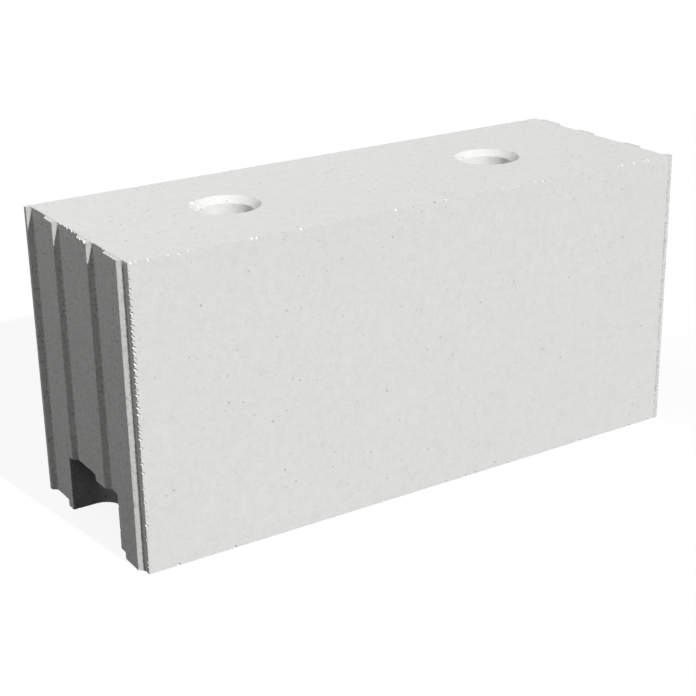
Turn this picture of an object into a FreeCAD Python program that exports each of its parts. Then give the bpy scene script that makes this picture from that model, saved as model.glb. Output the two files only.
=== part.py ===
import FreeCAD, Part
import os

from FreeCAD import Vector

# A calcium silicate wall block with tongue-and-groove ends, pressed in one piece.
# X runs along the block, Y from the front face to the back face, Z up.
# The origin is the middle of the underside. The block is unchanged by half a turn about Z,
# so either end of one block plugs into either end of the next.

# Body
length = 498.0           # laid length, from the groove floors of one end to the crests of the other
thickness = 175.0
height = 238.0

# Tongues and grooves, each measured at half its depth and counted from the front face
# of the -X end. The grooves take the tongues of a block that is turned half round.
tongue_depth = 4.0       # groove floor to tongue crest
flank_run = 3.2          # how far a flank leans across its depth
front_margin = 8.5       # front face to the first tongue
first_tongue = 24.5
third_tongue = 18.0
groove_play = 4.0        # room at each side of the third tongue in the groove that takes it
middle_relief = 9.0      # the second tongue stops this far short of the middle of the thickness
corner_tongue = 5.0      # half tongue along the back corner
crest_radius = 0.8
root_radius = 4.0

# Lifting holes, right through between the bed faces
hole_pitch = 248.0
hole_radius = 21.0
mouth_radius = 27.0      # each hole opens on the upper bed face in a short cone
mouth_depth = 5.0

# Grip pocket at the foot of each end, open to the end and to the underside
pocket_width = 80.0
pocket_depth = 30.0      # into the block from the groove floors
pocket_height = 46.0
pocket_corner_radius = 15.0

cut_overrun = 5.0        # how far a cutting solid runs past the face that it opens


def tongue_spans():
    """Front and back of the three full tongues, measured from the front face."""
    first_back = front_margin + first_tongue
    second_front = first_back + third_tongue + 2 * groove_play
    second_back = thickness / 2 - middle_relief
    third_back = thickness - first_back - groove_play
    return [
        (front_margin, first_back),
        (second_front, second_back),
        (third_back - third_tongue, third_back),
    ]


def end_outline():
    """Plan of the -X end from the front corner to the back corner."""
    crest_x = -(length + tongue_depth) / 2
    floor_x = crest_x + tongue_depth
    front_y = -thickness / 2
    back_y = thickness / 2
    lean = flank_run / 2
    points = [Vector(floor_x, front_y, 0)]
    for front, back in tongue_spans():
        points.append(Vector(floor_x, front_y + front - lean, 0))
        points.append(Vector(crest_x, front_y + front + lean, 0))
        points.append(Vector(crest_x, front_y + back - lean, 0))
        points.append(Vector(floor_x, front_y + back + lean, 0))
    points.append(Vector(floor_x, back_y - corner_tongue - lean, 0))
    points.append(Vector(crest_x, back_y - corner_tongue + lean, 0))
    points.append(Vector(crest_x, back_y, 0))
    return points


def raw_body():
    """The outline of both ends, raised to the block's height."""
    one_end = end_outline()
    other_end = [Vector(-point.x, -point.y, 0) for point in one_end]
    outline = Part.makePolygon(one_end + other_end + one_end[:1])
    return Part.Face(outline).extrude(Vector(0, 0, height))


def profile_edges(body, distance):
    """Upright edges of the tongues at this distance from the middle of the length."""
    edges = []
    for edge in body.Edges:
        box = edge.BoundBox
        upright = box.ZLength > height / 2
        off_the_corners = abs(box.Center.y) < thickness / 2 - crest_radius
        near = abs(abs(box.Center.x) - distance) < tongue_depth / 4
        if upright and off_the_corners and near:
            edges.append(edge)
    return edges


def body_with_soft_tongues():
    """Tongue crests a little rounded and groove roots hollowed out."""
    crest_distance = (length + tongue_depth) / 2
    body = raw_body()
    body = body.makeFillet(crest_radius, profile_edges(body, crest_distance))
    return body.makeFillet(root_radius, profile_edges(body, crest_distance - tongue_depth))


def lifting_hole(side):
    """A round hole right through, with its conical mouth on top."""
    at_x = side * hole_pitch / 2
    bore = Part.makeCylinder(hole_radius, height + 2 * cut_overrun, Vector(at_x, 0, -cut_overrun))
    slope = (mouth_radius - hole_radius) / mouth_depth
    mouth = Part.makeCone(
        hole_radius,
        mouth_radius + slope * cut_overrun,
        mouth_depth + cut_overrun,
        Vector(at_x, 0, height - mouth_depth),
    )
    return bore.fuse(mouth)


def grip_pocket(side):
    """A pocket with rounded inner corners at the foot of the end on this side."""
    reach = tongue_depth + cut_overrun
    inner_x = (length - tongue_depth) / 2 - pocket_depth
    pocket = Part.makeBox(
        pocket_depth + reach,
        pocket_width,
        pocket_height + cut_overrun,
        Vector(inner_x, -pocket_width / 2, -cut_overrun),
    )
    inner_corners = []
    for edge in pocket.Edges:
        box = edge.BoundBox
        if box.ZLength > pocket_height and box.Center.x < inner_x + pocket_depth / 2:
            inner_corners.append(edge)
    pocket = pocket.makeFillet(pocket_corner_radius, inner_corners)
    if side < 0:
        pocket.rotate(Vector(0, 0, 0), Vector(0, 0, 1), 180)
    return pocket


def block():
    """The whole block."""
    cutters = []
    for side in (-1, 1):
        cutters.append(lifting_hole(side))
        cutters.append(grip_pocket(side))
    return body_with_soft_tongues().cut(cutters)


os.makedirs("parts", exist_ok=True)
solid = block()
solid.exportStep("parts/block.step")
print("block:", round(solid.Volume / 1e6, 3), "dm3,", len(solid.Solids), "solid, valid:", solid.isValid())
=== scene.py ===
# %% [markdown]
# # A calcium silicate wall block
#
# The block is pressed from damp sand and lime in a steel mould and hardened in steam. It has
# smooth faces, crisp but brittle edges, tongues and grooves on both ends, two lifting holes
# and a grip pocket at the foot of each end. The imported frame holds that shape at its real
# size. This lesson adds what handling does to it: crumbled edges, small pores, sandy grain.

# %% load the frame
import math
import random

import bpy
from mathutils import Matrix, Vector


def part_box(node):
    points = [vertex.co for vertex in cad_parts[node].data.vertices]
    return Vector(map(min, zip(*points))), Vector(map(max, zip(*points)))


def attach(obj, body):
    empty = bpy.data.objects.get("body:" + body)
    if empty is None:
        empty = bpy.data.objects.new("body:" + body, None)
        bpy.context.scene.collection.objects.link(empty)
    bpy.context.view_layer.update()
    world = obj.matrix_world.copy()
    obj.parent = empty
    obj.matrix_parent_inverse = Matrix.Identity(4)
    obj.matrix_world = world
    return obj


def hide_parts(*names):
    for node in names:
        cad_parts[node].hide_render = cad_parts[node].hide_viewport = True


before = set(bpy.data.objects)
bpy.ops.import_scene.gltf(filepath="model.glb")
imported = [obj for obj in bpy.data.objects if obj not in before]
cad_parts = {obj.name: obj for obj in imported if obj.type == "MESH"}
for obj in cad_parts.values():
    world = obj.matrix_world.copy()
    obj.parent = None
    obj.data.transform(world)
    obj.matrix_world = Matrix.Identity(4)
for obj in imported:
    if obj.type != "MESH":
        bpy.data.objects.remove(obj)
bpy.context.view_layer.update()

low, high = (Vector(corner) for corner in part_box("block"))
print("block from", tuple(low), "to", tuple(high))

# %% [markdown]
# ## Working sizes
#
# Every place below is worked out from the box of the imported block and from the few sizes
# that shape its ends and holes. They are in metres, as everything in Blender is here.

# %% sizes
MM = 0.001
tongue_depth = 4 * MM
crest_x = low.x                      # outermost plane of the left end
floor_x = low.x + tongue_depth       # bottom of its grooves
front_y = low.y
back_y = high.y
top_z = high.z
hole_x = 124 * MM
hole_radius = 21 * MM
mouth_radius = 27 * MM
mouth_depth = 5 * MM
pocket_half_width = 40 * MM
pocket_height = 46 * MM
print("height", round(top_z / MM, 1), "mm, left crest at", round(crest_x / MM, 1), "mm")

# %% [markdown]
# ## Selecting and cutting by hand, in code
#
# An operator works on whatever is selected, so each step starts by selecting nothing and
# then picks one object. A modifier is added with its settings and applied at once, which
# leaves a plain mesh, as pressing Apply would.

# %% helpers for operators
def only(piece):
    """Selects one object and makes it active."""
    bpy.ops.object.select_all(action="DESELECT")
    piece.select_set(True)
    bpy.context.view_layer.objects.active = piece


def apply_modifier(piece, kind, **settings):
    """Adds a modifier and applies it."""
    only(piece)
    modifier = piece.modifiers.new(kind.title(), kind)
    for name, value in settings.items():
        setattr(modifier, name, value)
    bpy.ops.object.modifier_apply(modifier=modifier.name)


# %% [markdown]
# ## Writing shaders as sums
#
# A material is easier to read as arithmetic than as a web of nodes. A `Socket` is one output
# of a node that can be added, multiplied and so on, and each step makes the matching node.

# %% shader arithmetic
class Socket:
    """One output of a shader node, ready for arithmetic."""

    def __init__(self, paint, output):
        self.paint = paint
        self.output = output

    def __add__(self, other):
        return self.paint.maths("ADD", self, other)

    def __radd__(self, other):
        return self.paint.maths("ADD", other, self)

    def __sub__(self, other):
        return self.paint.maths("SUBTRACT", self, other)

    def __rsub__(self, other):
        return self.paint.maths("SUBTRACT", other, self)

    def __mul__(self, other):
        return self.paint.maths("MULTIPLY", self, other)

    def __rmul__(self, other):
        return self.paint.maths("MULTIPLY", other, self)


class Paint:
    """Builds the node tree of one material or world."""

    def __init__(self, owner):
        owner.use_nodes = True
        self.tree = owner.node_tree
        self.tree.nodes.clear()

    def plug(self, value, socket):
        if isinstance(value, Socket):
            self.tree.links.new(value.output, socket)
        elif value is not None:
            socket.default_value = value

    def node(self, kind, settings=None, out=0, **sockets):
        """Adds a node: its type, its settings, then what goes into its sockets."""
        made = self.tree.nodes.new(kind)
        for name, value in (settings or {}).items():
            setattr(made, name, value)
        for name, value in sockets.items():
            self.plug(value, made.inputs[name.replace("_", " ")])
        return Socket(self, made.outputs[out])

    def surface(self, kind, shader):
        """Ends the tree in its output node."""
        self.plug(shader, self.tree.nodes.new(kind).inputs["Surface"])

    def maths(self, operation, *terms):
        made = self.tree.nodes.new("ShaderNodeMath")
        made.operation = operation
        for term, socket in zip(terms, made.inputs):
            self.plug(term, socket)
        return Socket(self, made.outputs[0])

    def ramp(self, value, low, high, bottom=0.0, top=1.0):
        """Carries a value smoothly from bottom to top as it passes from low to high."""
        made = self.tree.nodes.new("ShaderNodeMapRange")
        made.interpolation_type = "SMOOTHSTEP"
        for term, socket in zip((value, low, high, bottom, top), made.inputs):
            self.plug(term, socket)
        return Socket(self, made.outputs[0])

    def blend(self, amount, first, second):
        """Mixes two colours."""
        made = self.tree.nodes.new("ShaderNodeMix")
        made.data_type = "RGBA"
        self.plug(amount, made.inputs[0])
        self.plug(first, made.inputs[6])
        self.plug(second, made.inputs[7])
        return Socket(self, made.outputs[2])

    def mix(self, amount, first, second):
        """Mixes two shaders."""
        made = self.tree.nodes.new("ShaderNodeMixShader")
        for term, socket in zip((amount, first, second), made.inputs):
            self.plug(term, socket)
        return Socket(self, made.outputs[0])

    def noise(self, where, size, detail=2.0, roughness=0.5):
        """Cloudy values around a half, with lumps of the given size in metres."""
        return self.node(
            "ShaderNodeTexNoise",
            Vector=where,
            Scale=1 / size,
            Detail=detail,
            Roughness=roughness,
        )


# %% [markdown]
# ## Sand and lime
#
# Quartz sand bound with lime is nearly white and quite matt. Seen close, single grains are
# warm, greenish or grey, and there are specks of dark sand. The grain is about a millimetre,
# far too fine to model, so it is a bump. Streaks run up the ends, where the mould slid off.
# The crease at the foot of each flank is painted darker with pits: partly sand torn out, partly
# painted shade. Broken stone is taken to be a little cleaner and paler than the pressed skin.

# %% calcium silicate material
def calcium_silicate(name, freshness):
    """The pressed skin at a freshness of 0, a newly broken surface at 1."""
    material = bpy.data.materials.new(name)
    paint = Paint(material)
    where = paint.node("ShaderNodeTexCoord", out=3)
    stretched = paint.node("ShaderNodeMapping", Vector=where, Scale=(1, 1, 0.06))

    cloud = paint.noise(where, 0.12)
    mottle = paint.noise(where, 0.006, detail=3.0, roughness=0.7)
    grain = paint.noise(where, 0.0016, detail=2.0, roughness=0.6)
    tint = paint.noise(where, 0.0026, detail=1.0)
    hue = paint.noise(where, 0.009, detail=1.0)
    streak = paint.noise(stretched, 0.0022, detail=2.0)
    speck = paint.noise(where, 0.0030, detail=0.0)

    pale = (0.725, 0.724, 0.716, 1)
    warm = (0.715, 0.688, 0.652, 1)
    cool = (0.685, 0.707, 0.690, 1)
    dull = (0.63, 0.63, 0.62, 1)
    dark = (0.31, 0.30, 0.28, 1)
    colour = paint.blend(paint.ramp(mottle, 0.40, 0.70) * 0.45, pale, dull)
    colour = paint.blend(paint.ramp(tint, 0.55, 0.75) * paint.ramp(hue, 0.5, 0.6), colour, warm)
    colour = paint.blend(paint.ramp(tint, 0.45, 0.25) * paint.ramp(hue, 0.5, 0.4), colour, cool)
    colour = paint.blend(paint.ramp(grain, 0.40, 0.75) * 0.4, colour, dull)
    colour = paint.blend(paint.ramp(cloud, 0.35, 0.65) * 0.1, colour, dull)
    outward = paint.maths("ABSOLUTE", paint.node("ShaderNodeSeparateXYZ", Vector=where))
    groove = -floor_x
    drawn = paint.ramp(outward, groove - 0.8 * MM, groove - 0.3 * MM)
    # Partly painted shade: the crease at the foot of each flank is darkened along with its
    # pits.
    root_pits_and_shade = paint.ramp(outward, groove + 0.05 * MM, groove + 0.2 * MM)
    root_pits_and_shade = root_pits_and_shade * paint.ramp(outward, groove + 1.9 * MM, groove + 0.6 * MM)
    pits = paint.noise(where, 0.0024, detail=1.0)
    colour = paint.blend(paint.ramp(pits, 0.50, 0.80) * drawn * 0.6, colour, dark)
    colour = paint.blend(paint.ramp(streak, 0.42, 0.75) * drawn * 0.5, colour, dull)
    colour = paint.blend(paint.ramp(pits, 0.25, 0.6) * root_pits_and_shade * 0.42, colour, dark)
    colour = paint.blend(paint.ramp(speck, 0.80, 0.84) * 0.55, colour, dark)

    colour = paint.blend(freshness, colour, (0.80, 0.80, 0.79, 1))

    relief = 0.6 * grain + 0.3 * mottle + 0.2 * streak
    bump = paint.node("ShaderNodeBump", Height=relief, Strength=0.35, Distance=0.0006)
    skin = paint.node(
        "ShaderNodeBsdfPrincipled",
        Base_Color=colour,
        Normal=bump,
        Roughness=0.95,
        IOR=1.35,
    )
    paint.surface("ShaderNodeOutputMaterial", skin)
    return material


skin = calcium_silicate("calcium_silicate", 0.0)
fracture = calcium_silicate("calcium_silicate_broken", 0.75)
print("materials", skin.name, "and", fracture.name)

# %% [markdown]
# ## The body
#
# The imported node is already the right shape, so the body starts as a copy of it. Its mesh is
# loose triangles, so the doubles are merged and flat faces are joined again. That leaves a
# clean closed shell that can be cut. A few level cuts keep its tall faces from turning into
# long splinters later. The node itself stays untouched and is hidden later.

# %% body
def copy_of_node(name):
    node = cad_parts[name]
    body = node.copy()
    body.data = node.data.copy()
    body.name = "block_body"
    body.parent = None
    body.matrix_world = node.matrix_world
    bpy.context.collection.objects.link(body)
    only(body)
    bpy.ops.object.mode_set(mode="EDIT")
    bpy.ops.mesh.select_all(action="SELECT")
    bpy.ops.mesh.customdata_custom_splitnormals_clear()
    bpy.ops.mesh.remove_doubles(threshold=0.002 * MM)
    bpy.ops.mesh.dissolve_limited(angle_limit=math.radians(0.5))
    for height in (12, 30, 60, 100, 140, 180, 210, 226):
        bpy.ops.mesh.select_all(action="SELECT")
        bpy.ops.mesh.bisect(plane_co=(0, 0, height * MM), plane_no=(0, 0, 1))
    bpy.ops.object.mode_set(mode="OBJECT")
    return body


def smooth_curved_faces(piece, narrowest, widest):
    """Shades the facets of the round walls smooth and leaves flats and fine fillets flat."""
    for face in piece.data.polygons:
        ring = [piece.data.vertices[i].co for i in face.vertices]
        sides = [(a - b).xy.length for a, b in zip(ring, ring[1:] + ring[:1])]
        square_on = max(abs(part) for part in face.normal) > 0.99999
        face.use_smooth = narrowest < max(sides) < widest and not square_on


body = copy_of_node("block")
smooth_curved_faces(body, 1 * MM, 5.2 * MM)
body.data.materials.clear()
for material in (skin, fracture):
    body.data.materials.append(material)
print("body", len(body.data.vertices), "vertices,", len(body.data.polygons), "faces")

# %% [markdown]
# ## Crumbs
#
# Sand-lime stone breaks in small angular crumbs, never in smooth dents. Each crumb starts as
# the coarsest ball of triangles, is pressed out of round, and has its corners pushed about.
# Four of them are modelled, and a fifth that is thin and deep. Every chip and pore in the
# block is the hollow that a copy of one of these leaves behind.

# %% crumb shapes
def crumb(name, proportions, roughness, seed):
    """An angular grain about two millimetres across, at the origin."""
    bpy.ops.object.select_all(action="DESELECT")
    bpy.ops.mesh.primitive_ico_sphere_add(subdivisions=1, radius=1 * MM)
    grain = bpy.context.object
    grain.name = name
    bpy.ops.object.mode_set(mode="EDIT")
    bpy.ops.mesh.select_all(action="SELECT")
    bpy.ops.transform.resize(value=proportions)
    bpy.ops.transform.vertex_random(offset=roughness * MM, seed=seed)
    bpy.ops.object.mode_set(mode="OBJECT")
    return grain


round_crumb = crumb("round_crumb", (1.0, 1.0, 1.0), 0.22, 1)
flat_crumb = crumb("flat_crumb", (1.3, 1.0, 0.6), 0.25, 2)
long_crumb = crumb("long_crumb", (1.9, 0.75, 0.75), 0.2, 3)
wedge_crumb = crumb("wedge_crumb", (1.2, 0.7, 1.1), 0.3, 4)
slit_crumb = crumb("slit_crumb", (1.8, 1.5, 0.95), 0.32, 5)
crumbs = [round_crumb, flat_crumb, long_crumb, wedge_crumb]
print("modelled", len(crumbs) + 1, "crumbs")

# %% [markdown]
# A copy keeps its distance from the ones already set, so hollows don't merge into long cuts
# by accident. Where an edge is worn through, the spacing is simply set closer.

# %% placing crumbs
rng = random.Random(7)
placed = []


def set_crumb(shape, place, size, turn=None, gap=1.0):
    """Copies a crumb to a place. A size of 1 is the crumb as modelled."""
    reach = size * max(shape.dimensions) / 2
    for other, other_reach in placed:
        if (place - other).length < gap * (reach + other_reach):
            return None
    copy = shape.copy()
    copy.data = shape.data.copy()
    copy.location = place
    copy.rotation_euler = turn or [rng.uniform(0, math.tau) for _ in range(3)]
    copy.scale = (size, size, size)
    bpy.context.collection.objects.link(copy)
    placed.append((place, reach))
    return copy


def crumbs_along(start, end, count, smallest, largest, drift=0.4):
    """Breaks crumbs out of a straight edge, most of them small."""
    start, end = Vector(start), Vector(end)
    made = []
    for _ in range(count):
        place = start.lerp(end, rng.random())
        place += Vector([rng.uniform(-drift, drift) * MM for _ in range(3)])
        size = smallest + (largest - smallest) * rng.random() ** 1.7
        made.append(set_crumb(rng.choice(crumbs), place, size))
    return [piece for piece in made if piece]


def crumbs_around(centre, radius, count, smallest, largest, first=0.0, last=math.tau):
    """Breaks crumbs out of a round edge that lies level."""
    made = []
    for _ in range(count):
        angle = rng.uniform(first, last)
        place = Vector(centre) + radius * Vector((math.cos(angle), math.sin(angle), 0))
        size = smallest + (largest - smallest) * rng.random() ** 1.7
        made.append(set_crumb(rng.choice(crumbs), place, size))
    return [piece for piece in made if piece]


# %% [markdown]
# ## Worn edges
#
# The mould leaves every edge sharp. The edges that are knocked when blocks are stacked lose
# crumbs first: the corner between the front and the left end, the crests of the tongues
# where they meet the bed face, and the rims of the pocket and of the lifting holes.

# %% chips on the edges
def end_levels():
    """Each straight stretch of the left end's outline, as (first y, last y, x)."""
    tongues = [(8.5, 33.0), (59.0, 78.5), (120.0, 138.0), (170.0, 175.0)]
    half_run = 1.6
    stretches = []
    at = 0.0
    for first, last in tongues:
        stretches.append((at, first - half_run, floor_x))
        stretches.append((first + half_run, min(last - half_run, 175.0), crest_x))
        at = last + half_run
    return [(front_y + a * MM, front_y + b * MM, x) for a, b, x in stretches if b > a]


chips = []
# Front left arris: closely notched over its middle, sparser towards both ends.
z = 6.0
while z < 232.0:
    worn = 103.0 < z < 217.0
    size = rng.uniform(0.8, 1.35) if worn else rng.uniform(0.6, 1.1)
    inset = rng.uniform(0.2, 1.1) * MM
    place = Vector((floor_x + inset, front_y + rng.uniform(0.2, 0.7) * MM, z * MM))
    turn = (rng.uniform(-0.4, 0.4), rng.uniform(0.35, 0.95), rng.uniform(-0.4, 0.4))
    chips.append(set_crumb(slit_crumb, place, size, turn, gap=0.6))
    z += rng.uniform(3.2, 5.2) if worn else rng.uniform(3.6, 7.5)
chips = [piece for piece in chips if piece]
chips += crumbs_along((floor_x, front_y, 4 * MM), (floor_x, front_y, top_z), 90, 0.4, 1.2)
# Bed face against the left end, crest by crest.
for first, last, x in end_levels():
    many = int((last - first) / MM * 1.1)
    chips += crumbs_along((x, first, top_z), (x, last, top_z), many, 0.7, 2.3)
    chips += crumbs_along((-x, -first, top_z), (-x, -last, top_z), many, 0.5, 1.8)
    chips += crumbs_along((x, first, 0), (x, last, 0), many // 2, 0.5, 1.5)
# Long edges of the bed face and of the front.
left, right = floor_x, high.x
chips += crumbs_along((left, front_y, top_z), (right, front_y, top_z), 120, 0.6, 1.9)
chips += crumbs_along((crest_x, back_y, top_z), (-floor_x, back_y, top_z), 130, 0.7, 2.2)
chips += crumbs_along((left, front_y, 0), (right, front_y, 0), 120, 0.5, 1.7)
chips += crumbs_along((right, front_y, 0), (right, front_y, top_z), 70, 0.3, 1.0)
chips += crumbs_along((crest_x, back_y, 0), (crest_x, back_y, top_z), 60, 0.3, 1.0)
chips += crumbs_along((-floor_x, back_y, 0), (-floor_x, back_y, top_z), 60, 0.3, 1.0)
chips += crumbs_along((crest_x, back_y, 0), (-floor_x, back_y, 0), 90, 0.3, 1.0)
# Rims of the lifting holes.
for side in (-1, 1):
    centre = (side * hole_x, 0, top_z)
    worn_side = (math.radians(110), math.radians(260))
    chips += crumbs_around(centre, mouth_radius, 40, 0.7, 2.6, *worn_side)
    chips += crumbs_around(centre, mouth_radius, 12, 0.4, 1.2)
    # Rings down the cone, and one just outside its rim: radius and drop in millimetres.
    for ring, drop in ((22.5, 3.75), (24, 2.5), (25.5, 1.25), (28.5, 0)):
        level = (side * hole_x, 0, top_z - drop * MM)
        chips += crumbs_around(level, ring * MM, 12, 0.4, 1.5, *worn_side)
    below = (side * hole_x, 0, top_z - mouth_depth)
    chips += crumbs_around(below, hole_radius, 16, 0.5, 1.7, *worn_side)
    chips += crumbs_around(below, hole_radius, 22, 0.35, 0.9, -0.2, 1.5)
# Roof edge and sides of the grip pockets.
for side in (-1, 1):
    x = side * -floor_x
    rim = pocket_half_width
    roof = pocket_height
    chips += crumbs_along((x, -rim, roof), (x, rim, roof), 60, 0.5, 1.7)
    chips += crumbs_along((x, -rim, 0), (x, -rim, roof), 26, 0.4, 1.4)
    chips += crumbs_along((x, rim, 0), (x, rim, roof), 26, 0.4, 1.4)
print("chips on edges", len(chips))

# %% [markdown]
# ## Pores
#
# Air trapped in the damp mix leaves open pores a millimetre or so wide. The front and the
# bed face are pressed smooth and show few. The drawn ends show more.

# %% pores in the faces
def pores_in(count, span_x, span_y, span_z, smallest, largest):
    """Scatters pores over a flat rectangle, given as a range along each axis."""
    made = []
    for _ in range(count):
        place = Vector([rng.uniform(*span) for span in (span_x, span_y, span_z)])
        size = smallest + (largest - smallest) * rng.random() ** 4
        made.append(set_crumb(rng.choice(crumbs), place, size, gap=1.1))
    return [piece for piece in made if piece]


whole_x, whole_y, whole_z = (floor_x, -floor_x), (front_y, back_y), (0, top_z)
pores = pores_in(420, whole_x, (front_y, front_y), whole_z, 0.2, 0.75)
pores += pores_in(260, whole_x, whole_y, (top_z, top_z), 0.2, 0.75)
pores += pores_in(300, whole_x, (back_y, back_y), whole_z, 0.2, 0.75)
pores += pores_in(180, whole_x, whole_y, (0, 0), 0.2, 0.75)
for first, last, x in end_levels():
    many = int((last - first) / MM * 5)
    pores += pores_in(many, (x, x), (first, last), whole_z, 0.25, 0.95)
    pores += pores_in(many, (-x, -x), (-last, -first), whole_z, 0.25, 0.95)
print("pores", len(pores))

# %% [markdown]
# ## Cutting
#
# The copies are joined into a cutter and taken away from the body, first all the pores and
# then all the chips. A hollow takes its material from its cutter, so chips turn out paler.

# %% cut chips and pores
def joined(pieces, name):
    bpy.ops.object.select_all(action="DESELECT")
    for piece in pieces:
        piece.select_set(True)
    bpy.context.view_layer.objects.active = pieces[0]
    bpy.ops.object.join()
    result = bpy.context.object
    result.name = name
    bpy.ops.object.transform_apply(location=True, rotation=True, scale=True)
    return result


def cut_away(pieces, material_index):
    """Takes pieces away from the body and gives the hollows one of its two materials."""
    cutter = joined(pieces, "crumb_cutter")
    for material in (skin, fracture):
        cutter.data.materials.append(material)
    for face in cutter.data.polygons:
        face.material_index = material_index
    apply_modifier(body, "BOOLEAN", operation="DIFFERENCE", object=cutter, solver="MANIFOLD")
    bpy.data.objects.remove(cutter)


cut_away(pores, 0)
cut_away(chips, 1)
only(body)
for shape in crumbs + [slit_crumb]:
    bpy.data.objects.remove(shape)
bpy.ops.object.mode_set(mode="EDIT")
bpy.ops.mesh.select_mode(type="EDGE")
bpy.ops.mesh.select_all(action="DESELECT")
bpy.ops.mesh.edges_select_sharp(sharpness=math.radians(26))
bpy.ops.mesh.mark_sharp()
bpy.ops.object.mode_set(mode="OBJECT")
print("cut body", len(body.data.polygons), "faces")

block = body
block.name = "pressed_block"

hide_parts("block")
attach(block, "root")
print("dressed", block.name)

# %% [markdown]
# ## Floor and sky
#
# The block stands on a plain floor. To the camera the floor is white and keeps only a faint
# shadow. To light that bounces off it, it is dark, as bare ground is.

# %% floor
def white_floor():
    bpy.ops.object.select_all(action="DESELECT")
    bpy.ops.mesh.primitive_plane_add(size=30)
    floor = bpy.context.object
    floor.name = "floor"
    material = bpy.data.materials.new("white_floor")
    paint = Paint(material)
    seen = paint.node("ShaderNodeLightPath", out="Is Camera Ray")
    glow = paint.node("ShaderNodeEmission", Color=(1, 1, 1, 1), Strength=1.0)
    chalk = paint.node("ShaderNodeBsdfDiffuse", Color=(1, 1, 1, 1))
    ground = paint.node("ShaderNodeBsdfDiffuse", Color=(0.02, 0.02, 0.02, 1))
    shadow_share = 0.12
    bright = paint.mix(shadow_share, glow, chalk)
    paint.surface("ShaderNodeOutputMaterial", paint.mix(seen, ground, bright))
    floor.data.materials.append(material)
    return floor


white_floor()


def sky(strength):
    world = bpy.data.worlds.new("sky")
    bpy.context.scene.world = world
    paint = Paint(world)
    seen = paint.node("ShaderNodeLightPath", out="Is Camera Ray")
    for ray in ("Is Glossy Ray", "Is Transmission Ray"):
        seen = paint.maths("MAXIMUM", seen, paint.node("ShaderNodeLightPath", out=ray))
    level = strength + (1 - strength) * seen
    light = paint.node("ShaderNodeBackground", Color=(1, 1, 1, 1), Strength=level)
    paint.surface("ShaderNodeOutputWorld", light)
    return world


sky(0.04)
print("floor and sky ready")

# %% [markdown]
# ## Light
#
# Low sun stands almost square to the front, so the front and the bed face are bright and the
# left end lies in shade. A wide soft lamp above stands for the bright part of the sky, and
# a weak one behind keeps the far sides readable.

# %% lamps
towards_sun = Vector((0.107, -0.855, 0.507)).normalized()
bpy.ops.object.light_add(type="SUN", location=towards_sun * 3)
sun = bpy.context.object
sun.name = "sun"
sun.rotation_euler = towards_sun.to_track_quat("Z", "Y").to_euler()
sun.data.energy = 3.58
sun.data.angle = math.radians(1.0)

towards_sky = Vector((-0.52, 0.17, 0.83)).normalized()
bpy.ops.object.light_add(type="AREA", location=towards_sky * 3.2)
overhead = bpy.context.object
overhead.name = "overhead"
overhead.rotation_euler = towards_sky.to_track_quat("Z", "Y").to_euler()
overhead.data.size = 3
overhead.data.energy = 50
overhead.visible_camera = False

towards_open = Vector((0.65, 0.68, 0.34)).normalized()
bpy.ops.object.light_add(type="AREA", location=towards_open * 3.2)
fill = bpy.context.object
fill.name = "fill"
fill.rotation_euler = towards_open.to_track_quat("Z", "Y").to_euler()
fill.data.size = 2
fill.data.energy = 22
fill.visible_camera = False
print("sun, overhead lamp and fill")

# %% [markdown]
# ## Camera
#
# A long lens looks down along the block from its front left corner.

# %% camera
aim = Vector((-16.53, 0.60, 97.40)) * MM
bpy.ops.object.camera_add(location=Vector((-652.44, -1000.18, 556.09)) * MM)
camera = bpy.context.object
camera.name = "camera"
camera.rotation_euler = (aim - camera.location).to_track_quat("-Z", "Y").to_euler()
camera.rotation_euler.rotate_axis("Z", math.radians(-1))
camera.data.lens = 79.77
camera.data.sensor_width = 36
bpy.context.scene.camera = camera
bpy.context.scene.view_settings.view_transform = "Standard"
